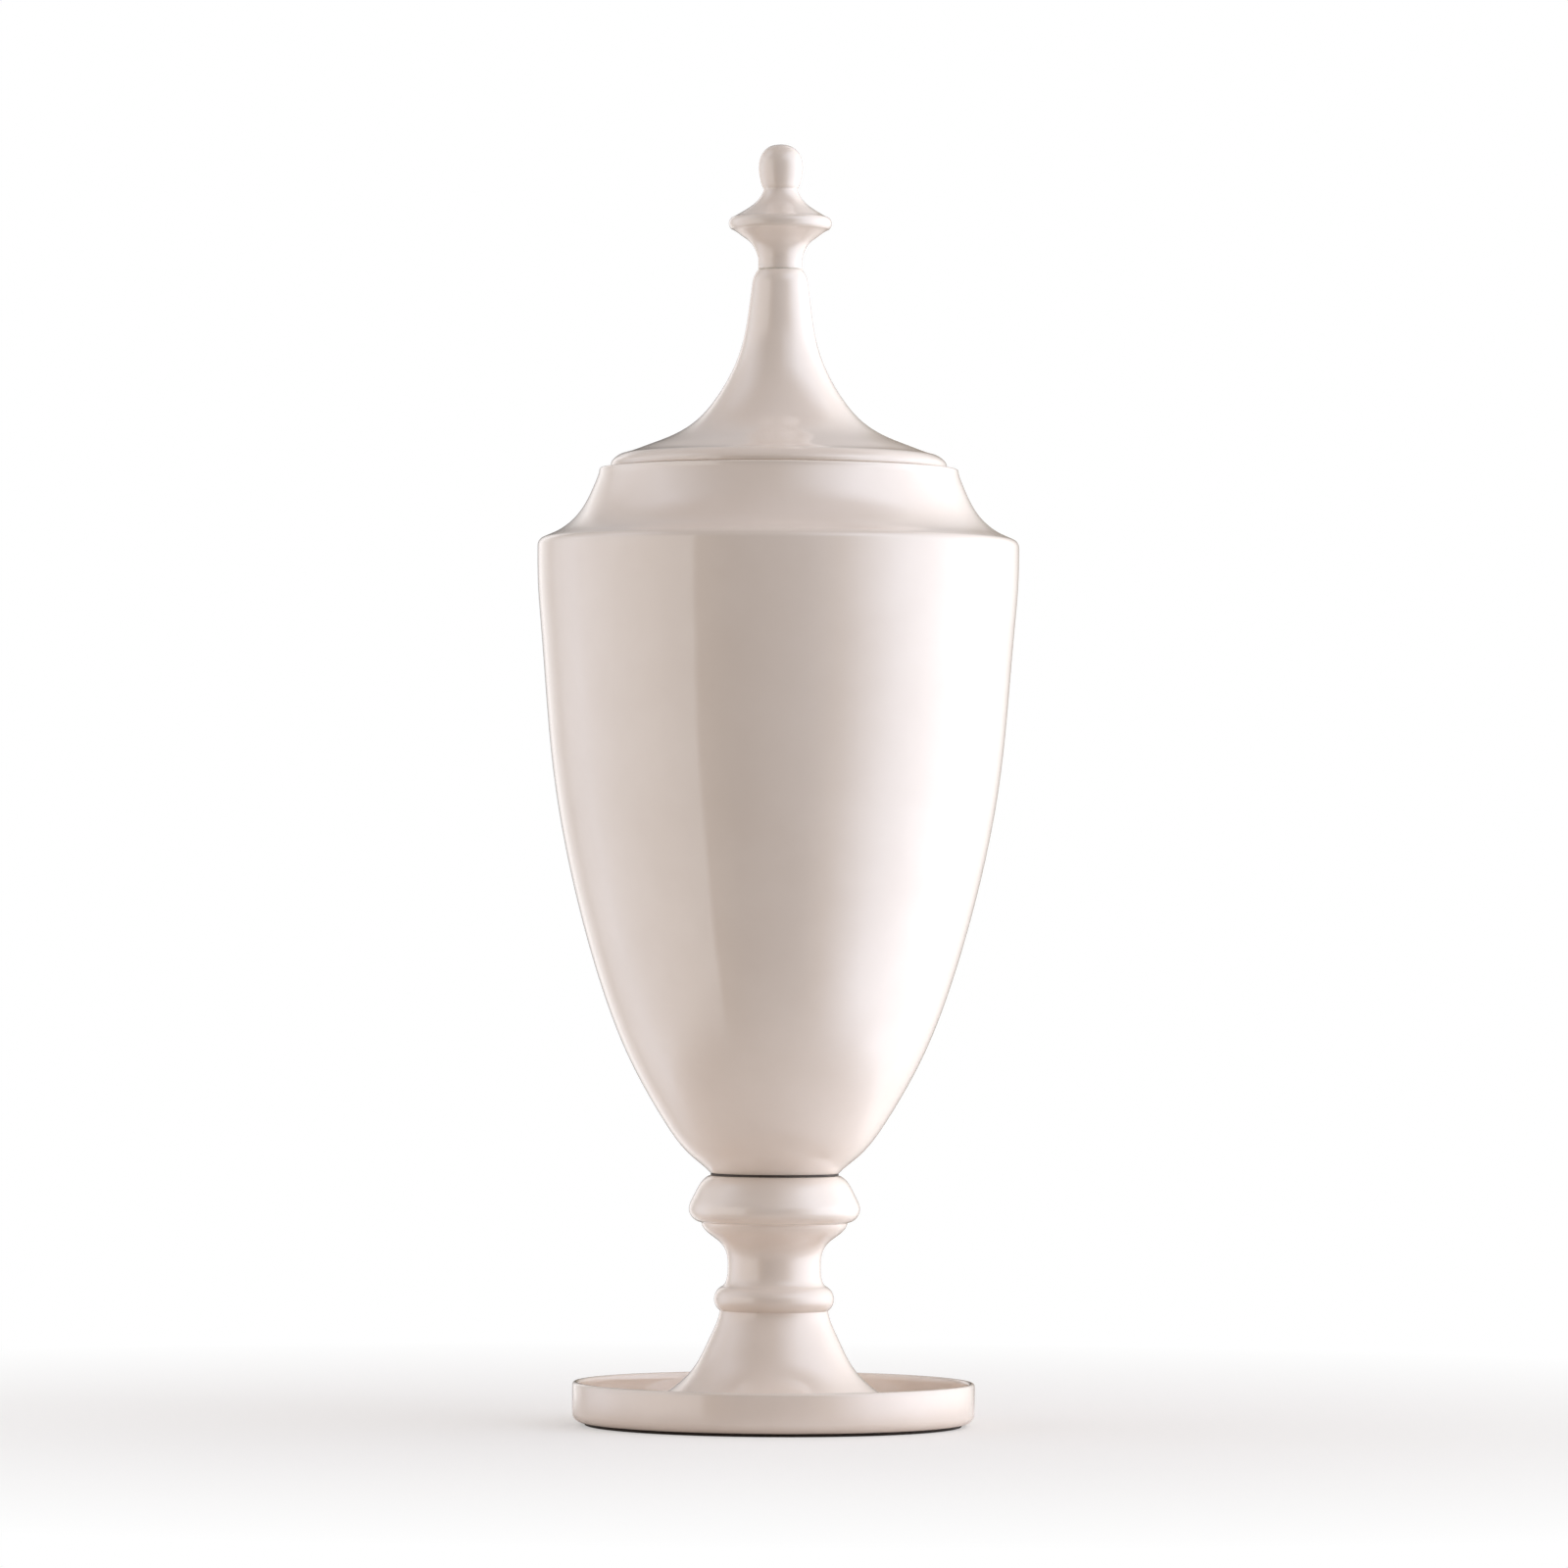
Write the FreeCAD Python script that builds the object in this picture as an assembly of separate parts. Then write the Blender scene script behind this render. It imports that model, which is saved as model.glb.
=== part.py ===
"""Lidded ceramic pedestal urn, 860 mm tall.

The urn is an assembly of turned pieces on one vertical axis.  A shallow dish, a hollow
pedestal and a hollow vase are clamped together by a threaded rod.  The domed lid lifts off;
its finial is held by a stud and a nut inside the spire.
Millimetres, +Z up, origin at the centre of the base on the supporting surface.
"""
import FreeCAD, Part
import math
import os

# ---- driving dimensions ----
HEIGHT = 860.0            # overall, with the lid on
BODY_R = 161.7            # widest radius of the vase
DISH_R = 135.0            # outer radius of the dish
DISH_RIM_Z = 29.0         # top of the dish's rim
STEM_TOP_Z = 167.5        # top of the pedestal
LEDGE_Z = 642.0           # top of the vase's rim
SPIRE_TOP_Z = 775.8       # top of the lid's spire

# ---- walls and gaps ----
BODY_WALL = 7.5
STEM_WALL = 8.0
RIM_WALL = 4.0            # dish rim
EDGE = 0.9                # small rounding on glazed edges
SEAT_GAP = 0.3            # lid rim above the ledge

# ---- dish and pad ----
PAD_T = 2.0
PAD_R = (110.0, 126.5)    # inner and outer radius of the felt ring
FOOT_R = (107.0, 128.5)   # inner and outer radius of the dish's foot ring
DISH_FLOOR_Z = 11.0
DISH_UNDER_Z = 5.0
BOSS_R = 34.0
BOSS_TOP_Z = 27.0
POCKET_R = 25.0
POCKET_Z = 19.0

# ---- gaskets ----
FOOT_GASKET_R = (74.0, 85.0)
FOOT_GASKET_T = 1.5
TOP_GASKET_R = (17.5, 42.4)
TOP_GASKET_T = 1.5
BODY_BASE_Z = STEM_TOP_Z + TOP_GASKET_T
REGISTER_R = 15.0         # boss under the vase that centres it on the pedestal
REGISTER_H = 3.0
REGISTER_GAP = 1.0

# ---- vase mouth and lid seat ----
MOUTH_R = 99.0
LIP_T = 10.0
REBATE_R = 108.6
REBATE_DEPTH = 1.4
SEAT_RING_R = (100.6, 108.0)
FLANGE_R = (91.5, 97.5)   # locating flange under the lid
FLANGE_BOTTOM_Z = 630.0
LID_RIM_R = 112.8

# ---- tie rod set, M10 ----
ROD_R = 5.0
ROD_HOLE_R = 6.0
ROD_BOTTOM_Z = 4.0
VASE_FLOOR_Z = 182.0
NUT10 = {"flats": 16.0, "height": 8.0}
STEEL10 = {"r": 12.5, "t": 2.0}
RUBBER10 = {"r": 16.0, "t": 2.5}

# ---- finial stud set, M6 ----
STUD_R = 3.0
STUD_HOLE_R = 3.5
STUD_IN_FINIAL = 30.0
SPIRE_CEILING_Z = 764.0
NUT6 = {"flats": 10.0, "height": 5.0}
STEEL6 = {"r": 9.0, "t": 1.6}
RUBBER6 = {"r": 10.5, "t": 2.0}
FINIAL_WASHER_R = 12.8
FINIAL_WASHER_T = 0.6
FINIAL_BASE_Z = SPIRE_TOP_Z + FINIAL_WASHER_T


def point(r, z):
    return FreeCAD.Vector(r, 0, z)


class Outline:
    """A closed half-section in the XZ plane, drawn edge by edge and turned about Z."""

    def __init__(self, r, z):
        self.first = point(r, z)
        self.here = self.first
        self.edges = []

    def line(self, r, z):
        end = point(r, z)
        self.edges.append(Part.LineSegment(self.here, end).toShape())
        self.here = end
        return self

    def arc(self, r_mid, z_mid, r, z):
        end = point(r, z)
        self.edges.append(Part.Arc(self.here, point(r_mid, z_mid), end).toShape())
        self.here = end
        return self

    def quarter(self, r, z, leave):
        """Quarter circle to (r, z), leaving along "r" or along "z"."""
        start = self.here
        centre = point(r, start.z) if leave == "z" else point(start.x, z)
        corner = point(start.x, z) if leave == "z" else point(r, start.z)
        middle = centre + (corner - centre) * math.sqrt(0.5)
        return self.arc(middle.x, middle.z, r, z)

    def curve(self, points, leave, arrive):
        """Smooth curve on through the points, with its two end directions as (dr, dz)."""
        knots = [self.here] + [point(r, z) for r, z in points]
        lengths = [0.0]
        for before, after in zip(knots, knots[1:]):
            lengths.append(lengths[-1] + (after - before).Length)
        spline = Part.BSplineCurve()
        spline.interpolate(Points=knots, Parameters=lengths, Scale=False,
                           InitialTangent=point(*leave).normalize(),
                           FinalTangent=point(*arrive).normalize())
        self.edges.append(spline.toShape())
        self.here = knots[-1]
        return self

    def turn(self):
        if (self.here - self.first).Length > 1e-6:
            self.line(self.first.x, self.first.z)
        face = Part.Face(Part.Wire(self.edges))
        solid = face.revolve(point(0, 0), point(0, 1), 360)
        return solid if solid.Volume > 0 else solid.reversed()


def ring(r_in, r_out, z_low, thickness):
    section = Outline(r_in, z_low).line(r_out, z_low).line(r_out, z_low + thickness)
    return section.line(r_in, z_low + thickness).turn()


def soft_ring(r_in, r_out, z_low, thickness, edge):
    """A ring with its outer edges rounded, as a moulded washer has."""
    top = z_low + thickness
    section = Outline(r_in, z_low).line(r_out - edge, z_low).quarter(r_out, z_low + edge, "r")
    section.line(r_out, top - edge).quarter(r_out - edge, top, "z").line(r_in, top)
    return section.turn()


def hex_nut(hole_r, nut, z_low):
    """Hexagon nut with both faces chamfered to a circle."""
    corner_r = nut["flats"] / math.sqrt(3)
    corners = []
    for k in range(7):
        angle = math.radians(60 * k)
        corners.append(FreeCAD.Vector(corner_r * math.cos(angle), corner_r * math.sin(angle), z_low))
    prism = Part.Face(Part.makePolygon(corners)).extrude(point(0, nut["height"]))
    drop = (corner_r - nut["flats"] / 2) * math.tan(math.radians(30))
    flat_r = nut["flats"] / 2
    top = z_low + nut["height"]
    envelope = Outline(hole_r, z_low).line(flat_r, z_low).line(corner_r, z_low + drop)
    envelope.line(corner_r, top - drop).line(flat_r, top).line(hole_r, top)
    return prism.common(envelope.turn())


def threaded_bar(radius, z_low, z_high):
    """Plain bar at the thread's outer size, with chamfered ends."""
    cut = radius * 0.2
    section = Outline(0, z_low).line(radius - cut, z_low).line(radius, z_low + cut)
    return section.line(radius, z_high - cut).line(radius - cut, z_high).line(0, z_high).turn()


def base_pad():
    return ring(*PAD_R, 0, PAD_T)


def base_dish():
    """Dish on a foot ring, with a raised boss over the nut's pocket."""
    rim_in = DISH_R - RIM_WALL
    s = Outline(ROD_HOLE_R, POCKET_Z).line(POCKET_R, POCKET_Z)
    s.line(POCKET_R, DISH_UNDER_Z).line(FOOT_R[0], DISH_UNDER_Z).line(FOOT_R[0], PAD_T)
    s.line(FOOT_R[1], PAD_T).quarter(DISH_R, PAD_T + DISH_R - FOOT_R[1], "r")
    s.line(DISH_R, DISH_RIM_Z - RIM_WALL / 2)
    s.quarter(DISH_R - RIM_WALL / 2, DISH_RIM_Z, "z")
    s.quarter(rim_in, DISH_RIM_Z - RIM_WALL / 2, "r")
    s.line(rim_in, DISH_FLOOR_Z + 6).quarter(rim_in - 6, DISH_FLOOR_Z, "z")
    s.line(BOSS_R + 5, DISH_FLOOR_Z).quarter(BOSS_R, DISH_FLOOR_Z + 5, "r")
    s.line(BOSS_R, BOSS_TOP_Z - 2).quarter(BOSS_R - 2, BOSS_TOP_Z, "z")
    return s.line(ROD_HOLE_R, BOSS_TOP_Z).turn()


def stem():
    """Hollow pedestal: trumpet flare, bead, neck, cove and torus."""
    foot_z = DISH_FLOOR_Z + FOOT_GASKET_T
    recess_r = REGISTER_R + REGISTER_GAP
    recess_z = STEM_TOP_Z - REGISTER_H - 1
    ceiling_z = recess_z - STEM_WALL
    s = Outline(72, foot_z).line(87 - EDGE, foot_z).quarter(87, foot_z + EDGE, "r")
    s.line(87, foot_z + 2.5)
    s.curve([(67.4, 25), (53.9, 38.2), (42.8, 59.2), (36.3, 77)], (-1, 0.28), (-0.12, 1))
    s.arc(40.2, 85.2, 35.3, 93)
    s.curve([(31.6, 99.5), (31.2, 108)], (-1, 0.5), (0, 1))
    s.curve([(34.1, 119.8), (39.2, 125), (45.9, 130.3), (49, 136.2)], (0, 1), (0.05, 1))
    s.curve([(54, 138.2), (57.4, 144.2), (54.2, 154), (47.9, 164.5), (43.4, STEM_TOP_Z)],
            (1, 0.05), (-1, 0.25))
    s.line(recess_r, STEM_TOP_Z).line(recess_r, recess_z).line(ROD_HOLE_R, recess_z)
    s.line(ROD_HOLE_R, ceiling_z).line(22, ceiling_z)
    s.curve([(41, 143), (37, 134.5), (24, 120), (22.8, 108)], (1, 0), (0, -1))
    s.curve([(28, 77), (35.5, 56), (47, 36), (64, 21), (72, foot_z + 3)], (0, -1), (1, -0.7))
    return s.turn()


def vase_body():
    """Tapered hollow vase with a crisp shoulder and a coved neck up to the ledge."""
    under_z = BODY_BASE_Z - REGISTER_H
    shoulder_r, shoulder_z = 6.0, 589.5
    turn_angle = math.radians(66)
    centre_r = BODY_R - shoulder_r
    s = Outline(ROD_HOLE_R, under_z).line(REGISTER_R - EDGE, under_z)
    s.line(REGISTER_R, under_z + EDGE).line(REGISTER_R, BODY_BASE_Z)
    s.line(43.2 - EDGE, BODY_BASE_Z).arc(43.1, BODY_BASE_Z + 0.3, 43.9, BODY_BASE_Z + EDGE)
    s.curve([(56, 180.4), (76.3, 206.6), (98.2, 246.1), (118.6, 298.7), (133.6, 351.4),
             (149.1, 430.3), (159, 535.6), (161.3, 566), (BODY_R, shoulder_z)], (1, 0.8), (0, 1))
    s.arc(centre_r + shoulder_r * math.cos(turn_angle / 2),
          shoulder_z + shoulder_r * math.sin(turn_angle / 2),
          centre_r + shoulder_r * math.cos(turn_angle),
          shoulder_z + shoulder_r * math.sin(turn_angle))
    s.curve([(149.4, 598.8), (133.8, 611.9), (122.9, 633), (120.6, LEDGE_Z - 1.4)],
            (-0.915, 0.403), (-0.1, 1))
    s.arc(120.2, LEDGE_Z - 0.45, 119.2, LEDGE_Z)
    rebate_z = LEDGE_Z - REBATE_DEPTH
    s.line(REBATE_R, LEDGE_Z).line(REBATE_R, rebate_z).line(MOUTH_R + 1.2, rebate_z)
    s.quarter(MOUTH_R, rebate_z - 1.2, "r").line(MOUTH_R, LEDGE_Z - LIP_T + 2)
    s.quarter(MOUTH_R + 2, LEDGE_Z - LIP_T, "z").line(110, LEDGE_Z - LIP_T)
    inside_r = BODY_R - BODY_WALL
    s.curve([(119.6, 620), (127.5, 606.5), (145, 592.5), (inside_r, 574)], (1, -0.25), (0, -1))
    s.curve([(151.4, 535.6), (141.6, 430.3), (126.2, 351.4), (111.3, 300), (91.4, 249.5),
             (69.5, 210.5), (48, VASE_FLOOR_Z + 4)], (0, -1), (-0.8, -0.62))
    s.curve([(39, VASE_FLOOR_Z)], (-0.8, -0.62), (-1, 0))
    return s.line(ROD_HOLE_R, VASE_FLOOR_Z).turn()


def lid():
    """Hollow dome that rises to a spire, with a quarter-round rim and a locating flange."""
    seat_z = LEDGE_Z + SEAT_GAP
    f_in, f_out = FLANGE_R
    s = Outline(f_out, seat_z).line(LID_RIM_R - EDGE, seat_z)
    s.quarter(LID_RIM_R, seat_z + EDGE, "r").line(LID_RIM_R, seat_z + 2)
    s.curve([(109.9, 648.9), (105, 651.6)], (0, 1), (-1, 0.3))
    s.curve([(90, 656.7), (70.4, 664.6), (54.5, 675.1), (41.3, 690.9), (32.2, 706.7),
             (24.7, 727.7), (20.7, 751.4), (18.7, 767.2)], (-1, 0.22), (-0.12, 1))
    s.arc(17.6, 771.3, 14.9, SPIRE_TOP_Z).line(STUD_HOLE_R, SPIRE_TOP_Z)
    s.line(STUD_HOLE_R, SPIRE_CEILING_Z).line(12, SPIRE_CEILING_Z)
    s.curve([(15, 750), (18.9, 727), (26.6, 704.5), (36.2, 688), (50.4, 671), (67.8, 659),
             (85, 652), (f_in, 649)], (0.3, -1), (0.6, -1))
    s.line(f_in, FLANGE_BOTTOM_Z + 1.2).line(f_in + 1.2, FLANGE_BOTTOM_Z)
    s.line(f_out - 1.8, FLANGE_BOTTOM_Z).line(f_out, FLANGE_BOTTOM_Z + 1.8)
    return s.turn()


def lid_seat_ring():
    low = LEDGE_Z - REBATE_DEPTH
    return ring(*SEAT_RING_R, low, REBATE_DEPTH + SEAT_GAP)


def finial():
    """Neck, disc with a crisp edge, hollowed skirt, waist and egg-shaped knob."""
    blind_z = FINIAL_BASE_Z + STUD_IN_FINIAL
    s = Outline(STUD_R, FINIAL_BASE_Z).line(14.8 - EDGE, FINIAL_BASE_Z)
    s.quarter(14.8, FINIAL_BASE_Z + EDGE, "r").line(14.8, 782)
    s.curve([(16.4, 788.3), (19.4, 793.5), (26, 798.8), (33, 803.2)], (0, 1), (1, 0.35))
    s.arc(34.6, 806.7, 32.6, 811)
    s.curve([(25.7, 814.6), (17.9, 819.9), (13.4, 825.1), (11.2, 830.2)], (-1, 0.3), (-0.25, 1))
    s.curve([(13.5, 835.4), (14.8, 843.6), (12.4, 854.1), (6.6, 859), (0, HEIGHT)],
            (0.9, 1), (-1, 0))
    return s.line(0, blind_z).line(STUD_R, blind_z).turn()


def tie_rod_set():
    """Rod with a nut, a steel washer and a rubber washer at each end."""
    rubber, steel, nut = RUBBER10, STEEL10, NUT10
    up_rubber = VASE_FLOOR_Z
    up_steel = up_rubber + rubber["t"]
    up_nut = up_steel + steel["t"]
    low_rubber = POCKET_Z - rubber["t"]
    low_steel = low_rubber - steel["t"]
    low_nut = low_steel - nut["height"]
    rod_top = up_nut + nut["height"] + 6
    return {
        "tie_rod": threaded_bar(ROD_R, ROD_BOTTOM_Z, rod_top),
        "upper_rubber_washer": soft_ring(ROD_R + 0.3, rubber["r"], up_rubber, rubber["t"], 0.6),
        "upper_steel_washer": ring(ROD_R + 0.3, steel["r"], up_steel, steel["t"]),
        "upper_nut": hex_nut(ROD_R, nut, up_nut),
        "lower_rubber_washer": soft_ring(ROD_R + 0.3, rubber["r"], low_rubber, rubber["t"], 0.6),
        "lower_steel_washer": ring(ROD_R + 0.3, steel["r"], low_steel, steel["t"]),
        "lower_nut": hex_nut(ROD_R, nut, low_nut),
    }


def finial_stud_set():
    """Stud cemented into the finial, with the washers and nut under the spire's ceiling."""
    rubber, steel, nut = RUBBER6, STEEL6, NUT6
    rubber_z = SPIRE_CEILING_Z - rubber["t"]
    steel_z = rubber_z - steel["t"]
    nut_z = steel_z - nut["height"]
    stud_low = nut_z - 4
    washer = ring(STUD_R + 0.2, FINIAL_WASHER_R, SPIRE_TOP_Z, FINIAL_WASHER_T)
    return {
        "finial_stud": threaded_bar(STUD_R, stud_low, FINIAL_BASE_Z + STUD_IN_FINIAL),
        "finial_washer": washer,
        "lid_rubber_washer": soft_ring(STUD_R + 0.2, rubber["r"], rubber_z, rubber["t"], 0.5),
        "lid_steel_washer": ring(STUD_R + 0.2, steel["r"], steel_z, steel["t"]),
        "finial_nut": hex_nut(STUD_R, nut, nut_z),
    }


def pieces():
    parts = {
        "base_pad": base_pad(),
        "base_dish": base_dish(),
        "stem_foot_gasket": ring(*FOOT_GASKET_R, DISH_FLOOR_Z, FOOT_GASKET_T),
        "stem": stem(),
        "stem_top_gasket": ring(*TOP_GASKET_R, STEM_TOP_Z, TOP_GASKET_T),
        "vase_body": vase_body(),
        "lid_seat_ring": lid_seat_ring(),
        "lid": lid(),
        "finial": finial(),
    }
    parts.update(tie_rod_set())
    parts.update(finial_stud_set())
    return parts


os.makedirs("parts", exist_ok=True)
for name, shape in pieces().items():
    shape.exportStep(os.path.join("parts", name + ".step"))
    print(f"{name:22s} valid {shape.isValid()}  solids {len(shape.Solids)}  volume {shape.Volume:12.1f}")
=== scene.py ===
import math

import bmesh
import bpy
import numpy as np
from mathutils import Matrix, Vector, noise


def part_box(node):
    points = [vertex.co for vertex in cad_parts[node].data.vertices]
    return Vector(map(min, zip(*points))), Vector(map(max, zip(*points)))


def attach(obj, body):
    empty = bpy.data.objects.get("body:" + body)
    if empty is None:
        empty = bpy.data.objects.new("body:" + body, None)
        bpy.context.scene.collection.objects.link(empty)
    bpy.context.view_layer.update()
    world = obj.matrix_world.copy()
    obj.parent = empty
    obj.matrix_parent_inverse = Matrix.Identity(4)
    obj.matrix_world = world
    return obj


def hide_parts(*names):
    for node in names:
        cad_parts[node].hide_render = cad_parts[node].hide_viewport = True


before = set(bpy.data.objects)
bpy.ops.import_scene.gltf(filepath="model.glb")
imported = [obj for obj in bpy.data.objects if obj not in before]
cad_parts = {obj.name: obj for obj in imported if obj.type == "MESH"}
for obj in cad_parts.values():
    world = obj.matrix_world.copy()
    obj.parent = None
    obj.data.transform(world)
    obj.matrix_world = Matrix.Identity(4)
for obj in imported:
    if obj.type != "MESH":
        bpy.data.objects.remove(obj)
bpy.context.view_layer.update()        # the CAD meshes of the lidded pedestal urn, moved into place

MM = 0.001                # outlines are written in millimetres, Blender works in metres
URN, SEAT, LID = "urn", "seat_ring", "lid_top"
LEAST_CORNER = math.radians(4)      # a flatter corner than this is left as it is
MOST_CORNER = 2.6         # radians: a sharper corner is cut back no further than this one
MOST_CUT = 0.45           # share of an edge that the softening of one corner may take
FILLET_POINTS = 9
BEND_REACH = 2.5          # mm on each side over which the glaze feels a bend
ON_AXIS = 1e-6            # mm
SAME_PLACE = 1e-4         # mm


def low_z(node):
    """Lowest height of a CAD node, in millimetres."""
    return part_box(node)[0].z / MM


def high_z(node):
    """Greatest height of a CAD node, in millimetres."""
    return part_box(node)[1].z / MM


def outer_r(node):
    """Outer radius of a CAD node, in millimetres."""
    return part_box(node)[1].x / MM


# ---------------------------------------------------------------- outlines

class Outline:
    """A half-section (r, z) in millimetres, drawn edge by edge with its corners softened.

    Each edge is a dense polyline with a finish: 0 for glaze, 1 for bare fired clay.
    """

    STEP = 0.2

    def __init__(self, r, z, soft=0.8):
        self.here = np.array([r, z], float)
        self.soft = soft
        self.finish = 0
        self.edges = []
        self.softness = []

    def add(self, points, soft=None):
        """Adds an edge; soft is the rounding of the corner where it starts."""
        self.edges.append((np.array(points, float), self.finish))
        self.softness.append(self.soft if soft is None else soft)
        self.here = self.edges[-1][0][-1]
        return self

    def glaze(self):
        """The edges from here on are glazed."""
        self.finish = 0
        return self

    def bare(self):
        """The edges from here on are bare fired clay."""
        self.finish = 1
        return self

    def line(self, r, z, soft=None):
        """Straight edge to (r, z)."""
        end = np.array([r, z], float)
        count = max(2, int(np.linalg.norm(end - self.here) / self.STEP))
        t = np.linspace(0, 1, count)[:, None]
        return self.add(self.here + (end - self.here) * t, soft)

    def arc(self, r_mid, z_mid, r, z, soft=None):
        """Arc of a circle through three points."""
        a, b, c = self.here, np.array([r_mid, z_mid], float), np.array([r, z], float)
        chords = 2 * np.array([b - a, c - a])
        centre = np.linalg.solve(chords, [b @ b - a @ a, c @ c - a @ a])
        angles = [math.atan2(*(p - centre)[::-1]) for p in (a, b, c)]
        turn = (angles[2] - angles[0]) % math.tau
        if (angles[1] - angles[0]) % math.tau > turn:
            turn -= math.tau
        radius = np.linalg.norm(a - centre)
        count = max(6, int(abs(turn) * radius / self.STEP))
        t = angles[0] + turn * np.linspace(0, 1, count)
        return self.add(centre + radius * np.stack([np.cos(t), np.sin(t)], 1), soft)

    def quarter(self, r, z, leave, soft=None):
        """Quarter circle to (r, z), leaving along "r" or along "z"."""
        start, end = self.here, np.array([r, z], float)
        centre = np.array([r, start[1]]) if leave == "z" else np.array([start[0], z])
        corner = start + end - centre
        middle = centre + (corner - centre) * math.sqrt(0.5)
        return self.arc(middle[0], middle[1], r, z, soft)

    def curve(self, points, leave, arrive, soft=None):
        """Smooth cubic spline on through the points, with its two end directions."""
        knots = np.vstack([self.here, np.array(points, float)])
        t = np.concatenate([[0], np.cumsum(np.linalg.norm(np.diff(knots, axis=0), axis=1))])
        first, last = (np.array(v, float) / np.linalg.norm(v) for v in (leave, arrive))
        slopes = spline_slopes(t, knots, first, last)
        dense = []
        for i in range(len(t) - 1):
            width = t[i + 1] - t[i]
            u = np.linspace(0, 1, max(4, int(width / self.STEP)), endpoint=False)[:, None]
            dense.append(hermite(u, width, knots[i], knots[i + 1], slopes[i], slopes[i + 1]))
        return self.add(np.vstack(dense + [knots[-1:]]), soft)

    def finished(self, closed=True, most=4.0, turn=4.0):
        """Rows (r, z, bend, finish), a new one after most mm or turn degrees of the outline."""
        edges = [(points.copy(), finish) for points, finish in self.edges]
        corners = list(range(1, len(edges))) + ([0] if closed else [])
        fillets = {i: soften(edges, i - 1, i, self.softness[i]) for i in corners}
        rows = []
        for i, (points, finish) in enumerate(edges):
            if fillets.get(i) is not None:
                rows += [(r, z, finish) for r, z in fillets[i][1:-1]]
            rows += [(r, z, finish) for r, z in points]
        rows = np.array(rows)
        keep = np.linalg.norm(np.diff(rows[:, :2], axis=0), axis=1) > SAME_PLACE
        rows = rows[np.concatenate([[True], keep])]
        return thin_out(rows, closed, most, math.radians(turn))


def spline_slopes(t, knots, first, last):
    """Derivatives at the knots of the clamped cubic spline through them."""
    n = len(t)
    matrix, right = np.eye(n), np.zeros((n, 2))
    right[0], right[-1] = first, last
    for i in range(1, n - 1):
        before, after = t[i] - t[i - 1], t[i + 1] - t[i]
        matrix[i, i - 1:i + 2] = [after, 2 * (before + after), before]
        right[i] = 3 * (after * (knots[i] - knots[i - 1]) / before
                        + before * (knots[i + 1] - knots[i]) / after)
    return np.linalg.solve(matrix, right)


def hermite(u, width, a, b, slope_a, slope_b):
    """Cubic from a to b, where u runs from 0 to 1 over the width."""
    return ((2 * u**3 - 3 * u**2 + 1) * a + (u**3 - 2 * u**2 + u) * width * slope_a
            + (3 * u**2 - 2 * u**3) * b + (u**3 - u**2) * width * slope_b)


def soften(edges, i, j, radius):
    """Cuts edges i and j back from their common corner and returns the fillet between them.

    A corner that is hardly one, or has no radius, is left alone and gives None.
    """
    (before, f_before), (after, f_after) = edges[i], edges[j]
    u, v = before[-1] - before[-2], after[1] - after[0]
    u, v = u / np.linalg.norm(u), v / np.linalg.norm(v)
    angle = math.acos(max(-1.0, min(1.0, float(u @ v))))
    if angle < LEAST_CORNER or radius <= 0:
        return None
    cut = radius * math.tan(min(angle, MOST_CORNER) / 2)
    corner = before[-1]
    tail = trim(before[::-1], min(cut, MOST_CUT * path_length(before)))[::-1]
    head = trim(after, min(cut, MOST_CUT * path_length(after)))
    edges[i], edges[j] = (tail, f_before), (head, f_after)
    s = np.linspace(0, 1, FILLET_POINTS)[:, None]
    return (1 - s)**2 * tail[-1] + 2 * s * (1 - s) * corner + s**2 * head[0]


def path_length(points):
    """Length of a polyline."""
    return float(np.linalg.norm(np.diff(points, axis=0), axis=1).sum())


def trim(points, cut):
    """The path without its first stretch of length cut."""
    steps = np.linalg.norm(np.diff(points, axis=0), axis=1)
    along = np.concatenate([[0], np.cumsum(steps)])
    i = min(int(np.searchsorted(along, cut, side="right")) - 1, len(steps) - 1)
    start = points[i] + (points[i + 1] - points[i]) * (cut - along[i]) / steps[i]
    return np.vstack([start, points[i + 1:]])


def thin_out(rows, closed, most, turn):
    """Keeps the rows that the shape needs, with the signed bend of the outline at each."""
    points = rows[:, :2]
    steps = np.diff(points, axis=0)
    if closed:
        steps = np.vstack([steps, points[0] - points[-1]])
    heading = np.unwrap(np.arctan2(steps[:, 1], steps[:, 0]))
    if not closed:
        heading = np.append(heading, heading[-1])
    spacing = np.linalg.norm(steps, axis=1)
    kept, length, start = [0], 0.0, heading[0]
    for i in range(1, len(rows)):
        length += spacing[i - 1]
        if length >= most or abs(heading[i] - start) >= turn:
            kept.append(i)
            length, start = 0.0, heading[i]
    if not closed and kept[-1] != len(rows) - 1:
        kept.append(len(rows) - 1)
    along = np.concatenate([[0], np.cumsum(spacing)])[:len(rows)]
    ahead = np.interp(along + BEND_REACH, along, heading)
    behind = np.interp(along - BEND_REACH, along, heading)
    bend = (ahead - behind) / (2 * BEND_REACH)
    return np.column_stack([points[kept], bend[kept], rows[kept, 2]])


# ---------------------------------------------------------------- turned meshes

def wobble(amount, grain, seed):
    """Slight hand-made unevenness: how far the surface stands out at a point, in mm."""
    def stand_out(x, y, z):
        return amount * noise.noise(Vector((x / grain + seed, y / grain, z / grain)))
    return stand_out


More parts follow.
